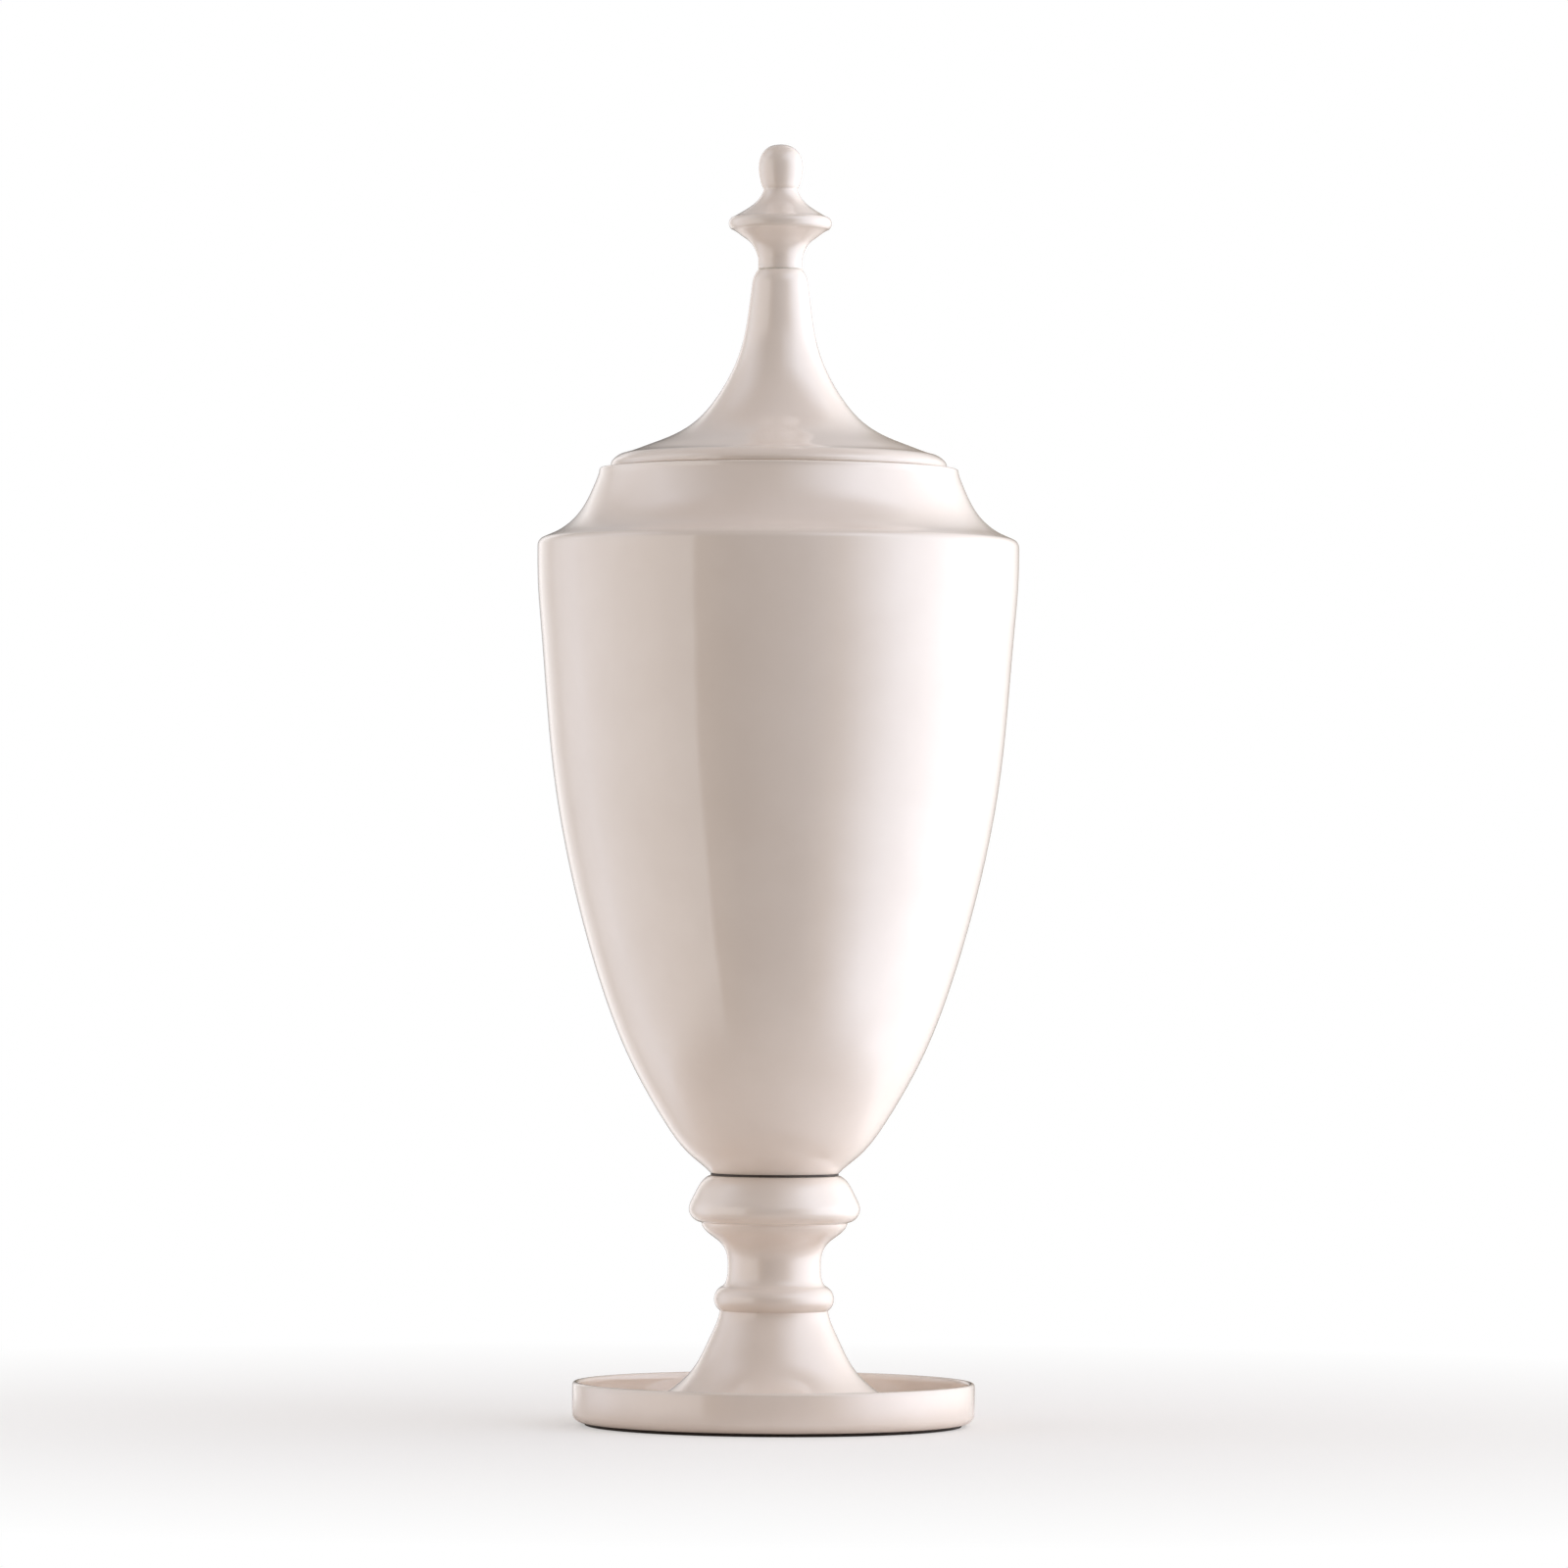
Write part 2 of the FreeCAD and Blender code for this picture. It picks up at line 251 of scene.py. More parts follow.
def turned(name, rows, columns, materials, uneven=None, closed=True):
    """Mesh of an outline turned about Z. Rows are (r, z, bend, finish) in mm."""
    angles = np.linspace(0, math.tau, columns, endpoint=False)
    cosines, sines = np.cos(angles), np.sin(angles)
    vertices, bends, rings = [], [], []
    for r, z, bend, _ in rows:
        if r < ON_AXIS:
            rings.append([len(vertices)])
            vertices.append((0.0, 0.0, z * MM))
            bends.append(bend)
            continue
        rings.append(list(range(len(vertices), len(vertices) + columns)))
        for c, s in zip(cosines, sines):
            out = uneven(r * c, r * s, z) if uneven else 0.0
            vertices.append(((r + out) * c * MM, (r + out) * s * MM, z * MM))
            bends.append(bend)
    faces, finishes = [], []
    pairs = list(zip(range(len(rings) - 1), range(1, len(rings))))
    if closed:
        pairs.append((len(rings) - 1, 0))
    for i, j in pairs:
        low, high = rings[i], rings[j]
        for k in range(columns):
            n = (k + 1) % columns
            if len(low) == 1:
                faces.append((low[0], high[k], high[n]))
            elif len(high) == 1:
                faces.append((low[k], high[0], low[n]))
            else:
                faces.append((low[k], high[k], high[n], low[n]))
            finishes.append(int(rows[j][3]))
    piece = mesh_object(name, vertices, faces, materials, finishes)
    layer = piece.data.attributes.new("glaze_bend", "FLOAT", "POINT")
    layer.data.foreach_set("value", np.array(bends, np.float32))
    return piece


def mesh_object(name, vertices, faces, materials, finishes=None):
    """A smooth-shaded object with its faces turned outwards; a finish picks a face's material."""
    mesh = bpy.data.meshes.new(name)
    mesh.from_pydata(vertices, [], faces)
    for material in materials:
        mesh.materials.append(material)
    if finishes is not None:
        mesh.polygons.foreach_set("material_index", np.array(finishes, np.int32))
    work = bmesh.new()
    work.from_mesh(mesh)
    bmesh.ops.recalc_face_normals(work, faces=work.faces)
    work.to_mesh(mesh)
    work.free()
    mesh.polygons.foreach_set("use_smooth", [True] * len(mesh.polygons))
    mesh.update()
    piece = bpy.data.objects.new(name, mesh)
    bpy.context.scene.collection.objects.link(piece)
    return piece


def stand_for(piece, node, body):
    """The piece rides on the body and stands for the CAD node."""
    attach(piece, body)
    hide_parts(node)
    return piece


# ---------------------------------------------------------------- ceramic pieces

def base_dish(glaze, clay):
    """Dish with an upright rim, on a bare foot ring, with a boss over the nut's pocket."""
    out_r, rim_z, foot_z = outer_r("base_dish"), high_z("base_dish"), low_z("base_dish")
    floor_z, under_z, pocket_z, boss_z = 11.0, 5.0, 19.0, 27.0
    foot_in, foot_out, boss_r, pocket_r, hole_r, wall = 107.0, 128.5, 34.0, 25.0, 6.0, 4.0
    cove, boss_cove, boss_round = 6.0, 5.0, 2.0
    s = Outline(hole_r, pocket_z).bare().line(pocket_r, pocket_z, 1.5)
    s.line(pocket_r, under_z, 2).glaze().line(foot_in, under_z, 1.5).line(foot_in, foot_z + 0.6, 2)
    s.bare().line(foot_in, foot_z).line(foot_out, foot_z).glaze()
    s.quarter(out_r, foot_z + out_r - foot_out, "r").line(out_r, rim_z - wall / 2)
    s.quarter(out_r - wall / 2, rim_z, "z").quarter(out_r - wall, rim_z - wall / 2, "r")
    s.line(out_r - wall, floor_z + cove).quarter(out_r - wall - cove, floor_z, "z")
    s.line(boss_r + boss_cove, floor_z).quarter(boss_r, floor_z + boss_cove, "r")
    s.line(boss_r, boss_z - boss_round).quarter(boss_r - boss_round, boss_z, "z")
    s.line(hole_r, boss_z).bare().line(hole_r, pocket_z)
    rows = s.finished(most=4)
    piece = turned("dish", rows, 288, [glaze, clay], wobble(0.16, 70, 3.1))
    return stand_for(piece, "base_dish", URN)


def stem(glaze, clay):
    """Hollow pedestal: trumpet flare, bead, neck, cove and torus."""
    foot_z, top_z = low_z("stem"), high_z("stem")
    foot_r, foot_in, foot_round, recess_r, hole_r = outer_r("stem"), 72.0, 0.9, 16.0, 6.0
    recess_z = top_z - 4
    ceiling_z = recess_z - 8
    s = Outline(foot_in, foot_z).bare().line(foot_r - foot_round, foot_z, 1).glaze()
    s.quarter(foot_r, foot_z + foot_round, "r").line(foot_r, foot_z + 2.5)
    s.curve([(67.4, 25), (53.9, 38.2), (42.8, 59.2), (36.3, 77)], (-1, 0.28), (-0.12, 1), 1.2)
    s.arc(40.2, 85.2, 35.3, 93, 0.9)
    s.curve([(31.6, 99.5), (31.2, 108)], (-1, 0.5), (0, 1), 0.9)
    s.curve([(34.1, 119.8), (39.2, 125), (45.9, 130.3), (49, 136.2)], (0, 1), (0.05, 1))
    s.curve([(54, 138.2), (57.4, 144.2), (54.2, 154), (47.9, 164.5), (43.4, top_z)],
            (1, 0.05), (-1, 0.25), 1.0)
    s.bare().line(recess_r, top_z, 0.6).line(recess_r, recess_z).line(hole_r, recess_z)
    s.line(hole_r, ceiling_z).line(22, ceiling_z)
    s.curve([(41, 143), (37, 134.5), (24, 120), (22.8, 108)], (1, 0), (0, -1))
    s.curve([(28, 77), (35.5, 56), (47, 36), (64, 21), (foot_in, foot_z + 3)],
            (0, -1), (1, -0.7))
    s.line(foot_in, foot_z)
    rows = s.finished(most=2.5, turn=3)
    piece = turned("pedestal", rows, 224, [glaze, clay], wobble(0.14, 45, 7.7))
    return stand_for(piece, "stem", URN)


def vase_body(glaze, clay):
    """Tapered hollow vase with a crisp shoulder and a coved neck up to the ledge."""
    under_z, ledge_z, wide_r = low_z("vase_body"), high_z("vase_body"), outer_r("vase_body")
    base_z, floor_z = under_z + 3, 182.0
    hole_r, register_r, mouth_r, rebate_r = 6.0, 15.0, 99.0, 108.6
    rebate_z, lip_z, seat_round, lip_round = ledge_z - 1.4, ledge_z - 10, 1.2, 2.0
    shoulder, shoulder_z, lean = 6.0, 589.5, math.radians(66)
    centre_r, inside_r = wide_r - shoulder, wide_r - 7.5
    s = Outline(hole_r, under_z).bare().line(register_r, under_z).line(register_r, base_z)
    s.line(42.9, base_z, 0.5).glaze()
    s.curve([(56, 180.4), (76.3, 206.6), (98.2, 246.1), (118.6, 298.7), (133.6, 351.4),
             (149.1, 430.3), (159, 535.6), (161.3, 566), (wide_r, shoulder_z)],
            (0.9, 1), (0, 1), 1.0)
    s.arc(centre_r + shoulder * math.cos(lean / 2), shoulder_z + shoulder * math.sin(lean / 2),
          centre_r + shoulder * math.cos(lean), shoulder_z + shoulder * math.sin(lean))
    s.curve([(149.4, 598.8), (133.8, 611.9), (122.9, 633), (120.6, ledge_z - 1.4)],
            (-0.915, 0.403), (-0.1, 1))
    s.arc(120.2, ledge_z - 0.45, 119.2, ledge_z)
    s.line(rebate_r, ledge_z, 0.5).bare().line(rebate_r, rebate_z, 0.4)
    s.line(mouth_r + seat_round, rebate_z, 0.4)
    s.quarter(mouth_r, rebate_z - seat_round, "r").glaze()
    s.line(mouth_r, lip_z + lip_round).quarter(mouth_r + lip_round, lip_z, "z")
    s.line(110, lip_z)
    s.curve([(119.6, 620), (127.5, 606.5), (145, 592.5), (inside_r, 574)], (1, -0.25), (0, -1))
    s.curve([(151.4, 535.6), (141.6, 430.3), (126.2, 351.4), (111.3, 300), (91.4, 249.5),
             (69.5, 210.5), (48, floor_z + 4)], (0, -1), (-0.8, -0.62))
    s.curve([(39, floor_z)], (-0.8, -0.62), (-1, 0)).line(hole_r, floor_z)
    s.bare().line(hole_r, under_z)
    rows = s.finished(most=4, turn=3)
    piece = turned("vase", rows, 288, [glaze, clay], wobble(0.22, 95, 1.3))
    return stand_for(piece, "vase_body", URN)


def lid(glaze, clay):
    """Hollow dome that rises to a spire, with a quarter-round rim and a locating flange."""
    flange_z, top_z, rim_r = low_z("lid"), high_z("lid"), outer_r("lid")
    seat_z, f_in, f_out = flange_z + 12.3, 91.5, 97.5
    hole_r, ceiling_z, rim_round, chamfer = 3.5, 764.0, 0.9, 1.8
    s = Outline(f_out, seat_z).bare().line(rim_r - rim_round, seat_z, 0.8).glaze()
    s.quarter(rim_r, seat_z + rim_round, "r").line(rim_r, seat_z + 2)
    s.curve([(109.9, 648.9), (105, 651.6)], (0, 1), (-1, 0.3))
    s.curve([(90, 656.7), (70.4, 664.6), (54.5, 675.1), (41.3, 690.9), (32.2, 706.7),
             (24.7, 727.7), (20.7, 751.4), (18.7, 767.2)], (-1, 0.22), (-0.12, 1), 2.0)
    s.arc(17.6, 771.3, 14.9, top_z).bare().line(hole_r, top_z, 0.8)
    s.line(hole_r, ceiling_z, 0.5).line(12, ceiling_z).glaze()
    s.curve([(15, 750), (18.9, 727), (26.6, 704.5), (36.2, 688), (50.4, 671), (67.8, 659),
             (85, 652), (f_in, 649)], (0.3, -1), (0.6, -1))
    s.line(f_in, flange_z + 1.2, 2).bare().line(f_in + 1.2, flange_z)
    s.line(f_out - chamfer, flange_z).line(f_out, flange_z + chamfer).line(f_out, seat_z)
    rows = s.finished(most=3, turn=3)
    piece = turned("lid_dome", rows, 256, [glaze, clay], wobble(0.16, 60, 5.9))
    return stand_for(piece, "lid", LID)


def finial(glaze, clay):
    """Neck, disc with a crisp edge, hollowed skirt, waist and egg-shaped knob."""
    base_z, top_z = low_z("finial"), high_z("finial")
    bore_r, blind_z, neck_r, neck_round = 3.0, base_z + 30, 14.8, 0.4
    s = Outline(0, blind_z).bare().line(bore_r, blind_z).line(bore_r, base_z)
    s.line(neck_r - neck_round, base_z, 0.5).glaze()
    s.quarter(neck_r, base_z + neck_round, "r", 0)
    s.line(neck_r, 782)
    s.curve([(16.4, 788.3), (19.4, 793.5), (26, 798.8), (33, 803.2)], (0, 1), (1, 0.35))
    s.arc(34.6, 806.7, 32.6, 811, 0.8)
    s.curve([(25.7, 814.6), (17.9, 819.9), (13.4, 825.1), (11.2, 830.2)], (-1, 0.3),
            (-0.25, 1), 1.2)
    s.curve([(13.5, 835.4), (14.8, 843.6), (12.4, 854.1), (6.6, 859), (0, top_z)],
            (0.9, 1), (-1, 0), 1.4)
    rows = s.finished(closed=False, most=1.6, turn=4)
    piece = turned("finial_knob", rows, 160, [glaze, clay], wobble(0.05, 22, 9.4), closed=False)
    return stand_for(piece, "finial", LID)


# ---------------------------------------------------------------- fasteners and soft rings

CREST, FLANK = 0.12, 0.70           # shares of half a pitch; the rest of it is the flat root
THREAD_DEPTH = 0.61                 # of the pitch, for a 60 degree thread


def thread_depth(turn_share):
    """Depth of a 60 degree thread, 0 at the crest and 1 at the root, along one pitch."""
    from_crest = abs((turn_share % 1.0) * 2 - 1)
    return min(1.0, max(0.0, (from_crest - CREST) / FLANK))


def threaded_bar(name, node, body, material, pitch):
    """Bar with a rolled thread over its whole length and chamfered ends."""
    low, high, crest = low_z(node), high_z(node), outer_r(node)
    root, columns, rings_per_pitch, chamfer = crest - THREAD_DEPTH * pitch, 32, 8, 0.2
    count = int((high - low) / pitch * rings_per_pitch)
    vertices = [(0, 0, low * MM)]
    for i in range(count + 1):
        z = low + (high - low) * i / count
        cone = root - chamfer + min(z - low, high - z)
        for k in range(columns):
            depth = thread_depth((z - low) / pitch - k / columns)
            r = min(crest - depth * (crest - root), cone) * MM
            angle = math.tau * k / columns
            vertices.append((r * math.cos(angle), r * math.sin(angle), z * MM))
    vertices.append((0, 0, high * MM))
    faces = []
    last = len(vertices) - 1
    for k in range(columns):
        n = (k + 1) % columns
        faces.append((0, 1 + n, 1 + k))
        faces.append((last, last - columns + k, last - columns + n))
        for i in range(count):
            a, b = 1 + i * columns, 1 + (i + 1) * columns
            faces.append((a + k, a + n, b + n, b + k))
    piece = mesh_object(name, vertices, faces, [material])
    return stand_for(piece, node, body)


def hex_nut(name, node, body, material, bore_r, pitch):
    """Hexagon nut with chamfered corners and a threaded bore."""
    low, high = low_z(node), high_z(node)
    corner_r = outer_r(node)
    flat_r = corner_r * math.cos(math.pi / 6)
    columns, inner_rows, mouth, play = 96, 24, 0.5, 0.02
    height = high - low

    def hexagon(angle):
        return flat_r / math.cos((angle + math.pi / 6) % (math.pi / 3) - math.pi / 6)

    top_circle, cone_slope = 0.985 * flat_r, 1.75
    ridge = 0.12 * pitch      # the bore's thread stays clear of the bar's
    rise = [0.0, 0.25, 0.5, 0.8, 1.2, 1.7]
    levels = rise + [height / 2] + [height - h for h in reversed(rise)]
    rows = []
    for h in levels:
        cone = top_circle + min(h, height - h) * cone_slope
        rows.append([(min(hexagon(math.tau * (k + 0.5) / columns), cone), low + h)
                     for k in range(columns)])
    rows.append([(bore_r + mouth, high)] * columns)
    for i in range(inner_rows + 1):
        z = high - mouth - (height - 2 * mouth) * i / inner_rows
        depths = [thread_depth((z - low) / pitch - k / columns) for k in range(columns)]
        rows.append([(bore_r - play - ridge * depth, z) for depth in depths])
    rows.append([(bore_r + mouth, low)] * columns)
    vertices, faces = [], []
    for row in rows:
        for k, (r, z) in enumerate(row):
            angle = math.tau * (k + 0.5) / columns
            vertices.append((r * math.cos(angle) * MM, r * math.sin(angle) * MM, z * MM))
    for i in range(len(rows)):
        a, b = i * columns, ((i + 1) % len(rows)) * columns
        for k in range(columns):
            n = (k + 1) % columns
            faces.append((a + k, a + n, b + n, b + k))
    piece = mesh_object(name, vertices, faces, [material])
    piece.data.set_sharp_from_angle(angle=math.radians(28))
    return stand_for(piece, node, body)


def washer(name, node, body, material, inner_r, edge, columns=96, bulge=0.0, spread=0.0,
           uneven=None):
    """Flat ring with rounded edges; a squeezed soft one bulges, or spreads, at its outer side."""
    low, high, out_r = low_z(node), high_z(node), outer_r(node) + spread
    middle = (low + high) / 2
    s = Outline(inner_r, low, edge).line(out_r - bulge, low)
    if bulge:
        s.arc(out_r, middle, out_r - bulge, high)
    else:
        s.line(out_r, high)
    s.line(inner_r, high).line(inner_r, low)
    rows = s.finished(most=1.5, turn=10)
    piece = turned(name, rows, columns, [material], uneven)
    return stand_for(piece, node, body)


# ---------------------------------------------------------------- materials

class Nodes:
    """Shorthand for building a material's or the world's node tree."""

    def __init__(self, tree):
        self.tree = tree
        tree.nodes.clear()

    def add(self, kind, **settings):
        """A new node, with its settings."""
        node = self.tree.nodes.new(kind)
        for name, value in settings.items():
            setattr(node, name, value)
        return node

    def set(self, socket, value):
        """Connects a socket, or sets its constant."""
        if isinstance(value, bpy.types.NodeSocket):
            self.tree.links.new(value, socket)
        else:
            socket.default_value = value

    def maths(self, operation, first, second):
        """One sum on two values, such as ADD or MULTIPLY."""
        node = self.add("ShaderNodeMath", operation=operation)
        self.set(node.inputs[0], first)
        self.set(node.inputs[1], second)
        return node.outputs[0]

    def mix(self, share, first, second):
        """Mixes two colours."""
        node = self.add("ShaderNodeMix", data_type="RGBA")
        self.set(node.inputs["Factor"], share)
        self.set(node.inputs["A"], first)
        self.set(node.inputs["B"], second)
        return node.outputs["Result"]

    def blend(self, share, first, second):
        """Mixes two shaders."""
        node = self.add("ShaderNodeMixShader")
        self.set(node.inputs[0], share)
        self.set(node.inputs[1], first)
        self.set(node.inputs[2], second)
        return node.outputs[0]

    def noise(self, scale, detail=2.0, roughness=0.5, stretch=(1, 1, 1)):
        """Noise on the object's own coordinates; scale is in features per metre."""
        place = self.add("ShaderNodeTexCoord").outputs["Object"]
        sized = self.add("ShaderNodeMapping")
        self.set(sized.inputs["Vector"], place)
        sized.inputs["Scale"].default_value = stretch
        texture = self.add("ShaderNodeTexNoise")
        self.set(texture.inputs["Vector"], sized.outputs["Vector"])
        texture.inputs["Scale"].default_value = scale
        texture.inputs["Detail"].default_value = detail
        texture.inputs["Roughness"].default_value = roughness
        return texture.outputs["Fac"]

    def scaled(self, value, low=0.3, high=0.7, to_low=0.0, to_high=1.0):
        """Stretches low..high, by default the middle of a noise, to to_low..to_high."""
        node = self.add("ShaderNodeMapRange")
        for socket, number in zip(node.inputs, (value, low, high, to_low, to_high)):
            self.set(socket, number)
        return node.outputs["Result"]

    def bump(self, height, depth, after=None):
        """Bump of the given depth in metres, on top of an earlier one."""
        node = self.add("ShaderNodeBump")
        node.inputs["Strength"].default_value = 1.0
        node.inputs["Distance"].default_value = depth
        self.set(node.inputs["Height"], height)
        if after is not None:
            self.set(node.inputs["Normal"], after)
        return node.outputs["Normal"]


def new_material(name, preview):
    """A new material, its nodes, and the inputs of its Principled shader."""
    material = bpy.data.materials.new(name)
    material.use_nodes = True
    material.diffuse_color = (*preview, 1)
    nodes = Nodes(material.node_tree)
    shader = nodes.add("ShaderNodeBsdfPrincipled")
    output = nodes.add("ShaderNodeOutputMaterial")
    nodes.principled, nodes.surface = shader.outputs["BSDF"], output.inputs["Surface"]
    nodes.set(nodes.surface, nodes.principled)
    return material, nodes, shader.inputs


def white_glaze():
    """Thick opaque white glaze: mirror gloss, thinner and warmer where it breaks over an edge, and a little
    darker and greyer in concave bends as painted shade.
    """
    material, n, shader = new_material("white_glaze", (0.84, 0.73, 0.65))
    bend = n.add("ShaderNodeAttribute", attribute_name="glaze_bend").outputs["Fac"]
    # mask of the painted shade: how far the outline bends inwards here
    crease_shade = n.scaled(bend, 0.02, 0.35)
    broken = n.scaled(bend, -0.10, -0.60)
    cloud = n.noise(16, 3.0, 0.55)
    body = n.mix(n.scaled(cloud, 0.35, 0.65), (0.828, 0.724, 0.640, 1),
                 (0.852, 0.750, 0.668, 1))
    # painted shade: the glaze is made a little darker and greyer in concave bends
    body = n.mix(n.maths("MULTIPLY", crease_shade, 0.35), body, (0.780, 0.705, 0.635, 1))
    body = n.mix(n.maths("MULTIPLY", broken, 0.30), body, (0.810, 0.680, 0.575, 1))
    n.set(shader["Base Color"], body)
    n.set(shader["Roughness"], n.scaled(n.noise(45), to_low=0.045, to_high=0.085))
    shader["IOR"].default_value = 1.6
    shader["Coat Weight"].default_value = 0.4
    shader["Coat Roughness"].default_value = 0.03
    ripple = n.bump(n.noise(38, 1.5), 0.00009)
    n.set(shader["Normal"], n.bump(n.noise(420), 0.000006, ripple))
    return material


def bare_clay():
    """Unglazed white stoneware, wiped clean where pieces stand on each other."""
    material, n, shader = new_material("bare_clay", (0.66, 0.60, 0.52))
    grain = n.noise(900, 3.0, 0.7)
    patch = n.noise(30, 3.0, 0.6)
    colour = n.mix(n.scaled(patch), (0.640, 0.575, 0.490, 1), (0.700, 0.645, 0.570, 1))
    specks = n.scaled(grain, 0.60, 0.78, to_high=0.5)
    n.set(shader["Base Color"], n.mix(specks, colour, (0.36, 0.29, 0.22, 1)))
    n.set(shader["Roughness"], n.scaled(grain, to_low=0.72, to_high=0.92))
    n.set(shader["Normal"], n.bump(grain, 0.00012))
    return material


def zinc_steel():
    """Bright zinc plate with fine marks and slightly clouded patches."""
    material, n, shader = new_material("zinc_steel", (0.62, 0.63, 0.64))
    patch = n.noise(160, 3.0, 0.6)
    colour = n.mix(n.scaled(patch), (0.58, 0.585, 0.59, 1), (0.69, 0.70, 0.715, 1))
    n.set(shader["Base Color"], colour)
    shader["Metallic"].default_value = 1.0
    marks = n.noise(1400, 2.0, 0.6, (1, 1, 0.15))
    n.set(shader["Roughness"], n.scaled(patch, to_low=0.24, to_high=0.40))
    n.set(shader["Normal"], n.bump(marks, 0.00002))
    return material


def soft_material(name, dark, light, grain, depth, rough):
    """Moulded rubber or silicone with a fine matt skin, and its shader's inputs."""
    material, n, shader = new_material(name, light[:3])
    skin = n.noise(grain, 2.0, 0.6)
    dust = n.noise(70, 3.0, 0.6)
    n.set(shader["Base Color"], n.mix(n.scaled(dust, low=0.35), dark, light))
    n.set(shader["Roughness"], n.scaled(skin, to_low=rough - 0.08, to_high=rough + 0.08))
    n.set(shader["Normal"], n.bump(skin, depth))
    return material, shader


def dark_rubber():
    """Brown-black rubber of the gaskets and cushion washers."""
    material, _ = soft_material("dark_rubber", (0.100, 0.080, 0.066, 1),
                                (0.140, 0.114, 0.095, 1), 1500, 0.00003, 0.62)
    return material


def silicone():
    """Milky silicone of the ring under the lid, which lets a little light in."""
    material, shader = soft_material("silicone", (0.66, 0.65, 0.62, 1), (0.76, 0.75, 0.73, 1),
                                     1200, 0.00002, 0.42)
    shader["Subsurface Weight"].default_value = 0.25
    shader["Subsurface Radius"].default_value = (0.0015, 0.0013, 0.0011)
    return material


def fibre():
    """Pressed pale fibre of the thin washer under the finial."""
    material, n, shader = new_material("fibre", (0.62, 0.58, 0.52))
    strands = n.noise(1100, 4.0, 0.7, (1, 0.3, 3))
    n.set(shader["Base Color"], n.mix(n.scaled(strands), (0.64, 0.58, 0.50, 1),
                                      (0.76, 0.70, 0.62, 1)))
    shader["Roughness"].default_value = 0.8
    n.set(shader["Normal"], n.bump(strands, 0.00005))
    return material


def felt():
    """Dense dark wool felt with stray paler fibres and a soft sheen; it is kept this dark partly as painted
    shadow, the thin dark line under the dish.
    """
    material, n, shader = new_material("felt", (0.07, 0.065, 0.06))
    clumps = n.noise(260, 4.0, 0.65)
    fibres = n.noise(1500, 4.0, 0.75, (1, 0.25, 1))
    crossing = n.noise(1500, 4.0, 0.75, (0.25, 1, 1))
    nap = n.maths("ADD", n.maths("MULTIPLY", fibres, 0.5), n.maths("MULTIPLY", crossing, 0.5))
    # the felt's own dark colour, kept dark enough to serve also as the painted shadow line under the dish
    dark = n.mix(n.scaled(clumps), (0.060, 0.046, 0.036, 1), (0.095, 0.075, 0.060, 1))
    stray = n.scaled(nap, 0.56, 0.72, to_high=0.7)
    n.set(shader["Base Color"], n.mix(stray, dark, (0.24, 0.20, 0.17, 1)))
    shader["Roughness"].default_value = 0.95
    shader["Sheen Weight"].default_value = 0.5
    shader["Sheen Roughness"].default_value = 0.45
    n.set(shader["Normal"], n.bump(nap, 0.0005, n.bump(clumps, 0.0008)))
    return material


# ---------------------------------------------------------------- assembly

def build_urn():
    """All the urn's pieces, from the foot up."""
    glaze, clay, steel = white_glaze(), bare_clay(), zinc_steel()
    rubber, clear, pad, card = dark_rubber(), silicone(), felt(), fibre()

    washer("felt_pad", "base_pad", URN, pad, 110.0, 0.5, 256,
           uneven=wobble(0.25, 6, 4.4))
    base_dish(glaze, clay)
    washer("pedestal_gasket", "stem_foot_gasket", URN, rubber, 74.0, 0.3, 192)
    stem(glaze, clay)
    washer("vase_gasket", "stem_top_gasket", URN, rubber, 17.5, 0.3, 160,
           spread=0.5)
    vase_body(glaze, clay)

    threaded_bar("clamp_rod", "tie_rod", URN, steel, 1.5)
    for level in ("upper", "lower"):
        washer(level + "_cushion_washer", level + "_rubber_washer", URN, rubber,
               5.5, 0.4, bulge=0.35)
        washer(level + "_flat_washer", level + "_steel_washer", URN, steel,
               5.3, 0.3)
        hex_nut(level + "_hex_nut", level + "_nut", URN, steel, 5.0, 1.5)

    washer("seat_gasket", "lid_seat_ring", SEAT, clear, 100.6, 0.5, 256)

    lid(glaze, clay)
    finial(glaze, clay)
    washer("knob_washer", "finial_washer", LID, card, 3.2, 0.1, spread=1.9)
    threaded_bar("knob_stud", "finial_stud", LID, steel, 1.0)
    washer("lid_cushion_washer", "lid_rubber_washer", LID, rubber, 3.4, 0.4,
           bulge=0.3)
    washer("lid_flat_washer", "lid_steel_washer", LID, steel, 3.3, 0.25)
    hex_nut("knob_nut", "finial_nut", LID, steel, 3.0, 1.0)


# ---------------------------------------------------------------- stage, light and camera

FLOOR_COLOUR = (0.88, 0.83, 0.79)
FLOOR_RADIUS = 9.0
FLOOR_DROP = 0.0001       # below the felt's underside, so that no face meets another
# Distances from the urn's axis, in metres, over which the floor changes
TURNS_WHITE = (0.16, 1.1)           # to the camera
STOPS_LIGHTING = (0.22, 0.42)       # to all other light, outwards
UNDER_FOOT = (0.122, 0.128)         # and inwards
WHITE_NEAR = 0.45         # share of plain white that the camera sees close to the urn


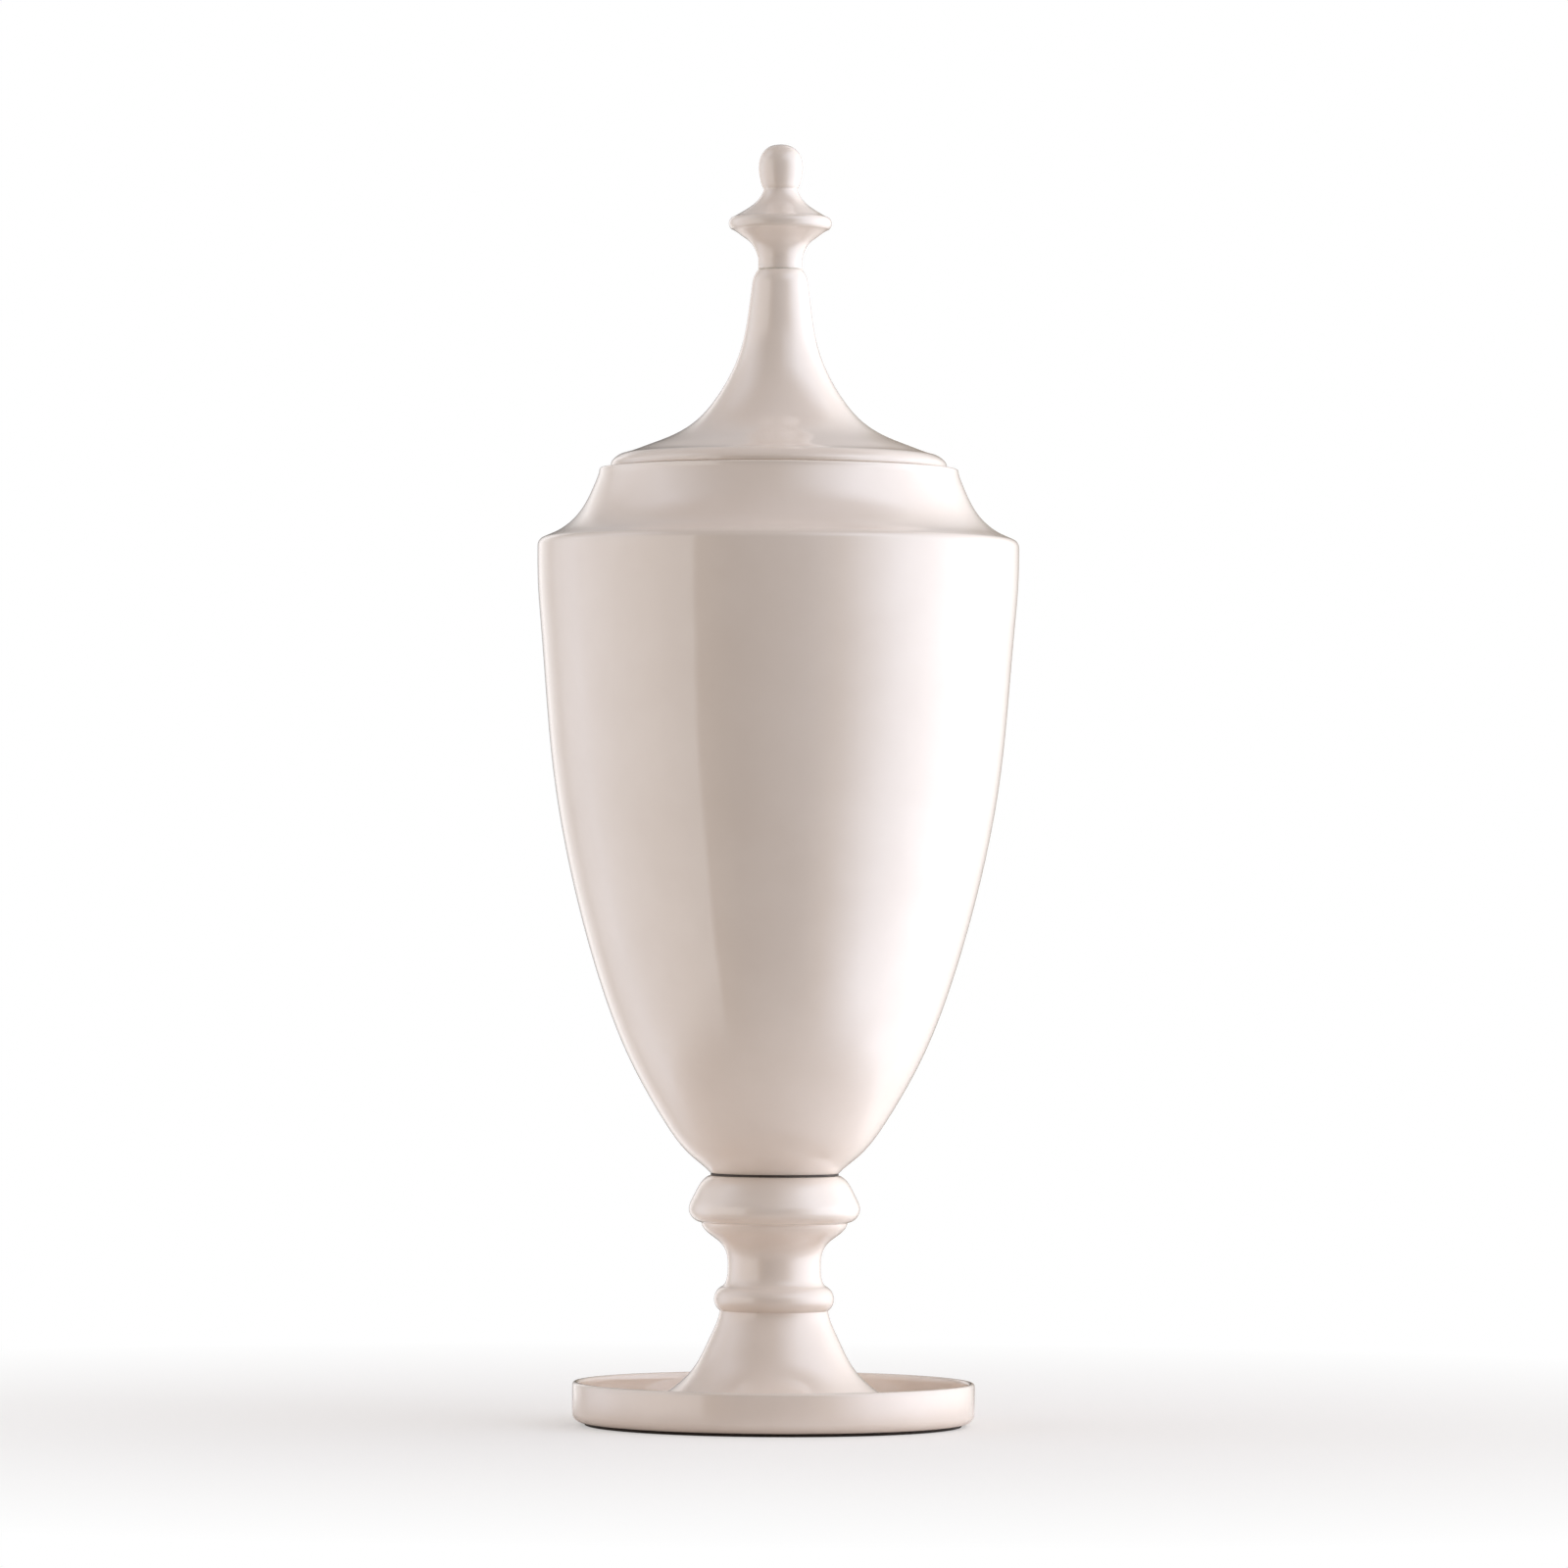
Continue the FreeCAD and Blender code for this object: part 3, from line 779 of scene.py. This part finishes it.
def floor():
    """Plain pale floor, seen white far from the urn.

    Only the floor close by throws light back on the urn, as the top of a small stand would:
    further out, and right under the foot, it is there for the camera alone, and lets the room's
    light through.  It is clear from underneath, so that the foot can be seen.
    """
    rim = [(FLOOR_RADIUS * math.cos(angle), FLOOR_RADIUS * math.sin(angle), -FLOOR_DROP)
           for angle in np.linspace(0, math.tau, 96, endpoint=False)]
    piece = mesh_object("floor", rim, [tuple(range(len(rim)))], [])
    material, n, shader = new_material("floor", FLOOR_COLOUR)
    shader["Base Color"].default_value = (*FLOOR_COLOUR, 1)
    shader["Roughness"].default_value = 0.7
    shader["Specular IOR Level"].default_value = 0.2
    geometry = n.add("ShaderNodeNewGeometry").outputs
    length = n.add("ShaderNodeVectorMath", operation="LENGTH")
    n.set(length.inputs[0], geometry["Position"])
    distance = length.outputs["Value"]
    white = n.add("ShaderNodeEmission").outputs["Emission"]
    clear = n.add("ShaderNodeBsdfTransparent").outputs["BSDF"]
    seen = n.add("ShaderNodeLightPath").outputs["Is Camera Ray"]
    whiteness = n.maths("MULTIPLY", n.scaled(distance, *TURNS_WHITE, WHITE_NEAR, 1.0), seen)
    pale = n.blend(whiteness, n.principled, white)
    outside = n.maths("MAXIMUM", n.scaled(distance, *STOPS_LIGHTING),
                      n.scaled(distance, *UNDER_FOOT, 1.0, 0.0))
    gone = n.maths("MULTIPLY", outside, n.maths("SUBTRACT", 1.0, seen))
    gone = n.maths("MAXIMUM", gone, geometry["Backfacing"])
    n.set(n.surface, n.blend(gone, pale, clear))
    piece.data.materials.append(material)


# Soft light from all round, as (compass angle, strength, colour): 0 degrees is the camera's side
# of the urn and 90 its right.  A pale panel stands at the left and a bright window at the right,
# with a dim gap between them behind the camera.  Two close angles make a panel's edge.
WARM = (1.0, 0.86, 0.70)
PLAIN = (1.0, 0.99, 1.0)
COOL = (0.93, 1.0, 1.12)
LEVEL_LIGHT = [(-180, 0.1, WARM), (-160, 1.2, PLAIN), (-140, 0.6, PLAIN), (-115, 1.4, COOL),
               (-65, 1.75, PLAIN), (-42, 1.5, PLAIN), (-39, 0.5, WARM), (-20, 0.0, WARM),
               (15, 0.0, WARM), (30, 0.5, WARM), (60, 2.4, COOL), (90, 2.7, COOL),
               (135, 1.4, PLAIN), (180, 0.3, WARM)]
UPPER_LIGHT = [(-180, 0.5, PLAIN), (-135, 0.6, PLAIN), (-90, 1.5, COOL), (-45, 0.3, PLAIN),
               (0, 0.3, WARM), (60, 2.4, COOL), (90, 2.0, COOL), (135, 1.3, PLAIN),
               (180, 0.5, PLAIN)]
CEILING = (0.43, 0.37, 0.34, 1)     # a dim warm room overhead, and a pale table top below
UNDERNEATH = (0.40, 0.36, 0.33, 1)
# How far up a direction points, -1 to 1, where one kind of light gives way to the next
LEVEL_TO_UPPER, UPPER_TO_CEILING = (0.35, 0.50), (0.75, 0.90)
UNDERNEATH_TO_LEVEL = (-0.75, -0.55)


def round_ramp(n, share, stops):
    """Light by compass angle, where share runs from 0 at -180 degrees to 1 at 180."""
    brightest = max(strength * max(colour) for _, strength, colour in stops)
    ramp = n.add("ShaderNodeValToRGB")
    marks = ramp.color_ramp.elements
    while len(marks) > 1:
        marks.remove(marks[-1])
    for i, (degrees, strength, colour) in enumerate(stops):
        position = (degrees + 180) / 360
        mark = marks[0] if i == 0 else marks.new(position)
        mark.position = position
        mark.color = (*[c * strength / brightest for c in colour], 1)
    n.set(ramp.inputs["Fac"], share)
    level = n.add("ShaderNodeVectorMath", operation="SCALE")
    n.set(level.inputs[0], ramp.outputs["Color"])
    level.inputs["Scale"].default_value = brightest
    return level.outputs[0]


def room_light():
    """Light from all round and above; behind the urn the camera sees plain white."""
    world = bpy.data.worlds.new("room_light")
    world.use_nodes = True
    bpy.context.scene.world = world
    n = Nodes(world.node_tree)
    axes = n.add("ShaderNodeSeparateXYZ")
    n.set(axes.inputs[0], n.add("ShaderNodeTexCoord").outputs["Generated"])
    x, y, up = axes.outputs
    angle = n.maths("ARCTAN2", x, n.maths("MULTIPLY", y, -1.0))
    share = n.scaled(angle, -math.pi, math.pi)
    around = n.mix(n.scaled(up, *LEVEL_TO_UPPER), round_ramp(n, share, LEVEL_LIGHT),
                   round_ramp(n, share, UPPER_LIGHT))
    above = n.mix(n.scaled(up, *UPPER_TO_CEILING), around, CEILING)
    below = n.scaled(up, *UNDERNEATH_TO_LEVEL, 1.0, 0.0)
    light = n.add("ShaderNodeBackground")
    n.set(light.inputs["Color"], n.mix(below, above, UNDERNEATH))
    plain = n.add("ShaderNodeBackground")
    plain.inputs["Color"].default_value = (1, 1, 1, 1)
    seen = n.add("ShaderNodeLightPath").outputs["Is Camera Ray"]
    output = n.add("ShaderNodeOutputWorld")
    n.set(output.inputs["Surface"],
          n.blend(seen, light.outputs["Background"], plain.outputs["Background"]))


CAMERA_PLACE = (0.0047, -5.751, 0.3527)
CAMERA_PITCH, CAMERA_ROLL = math.radians(90.773), math.radians(0.34)


def camera():
    """Long lens below the urn's middle, tipped up a little and almost square to it."""
    data = bpy.data.cameras.new("camera")
    data.sensor_width = 36.0
    data.lens = 196.65
    data.clip_end = 100.0
    holder = bpy.data.objects.new("camera", data)
    bpy.context.scene.collection.objects.link(holder)
    holder.matrix_world = (Matrix.Translation(CAMERA_PLACE)
                           @ Matrix.Rotation(CAMERA_PITCH, 4, "X")
                           @ Matrix.Rotation(CAMERA_ROLL, 4, "Z"))
    bpy.context.scene.camera = holder


build_urn()
floor()
room_light()
camera()
bpy.context.scene.view_settings.view_transform = "Standard"
bpy.context.scene.view_settings.gamma = 0.8
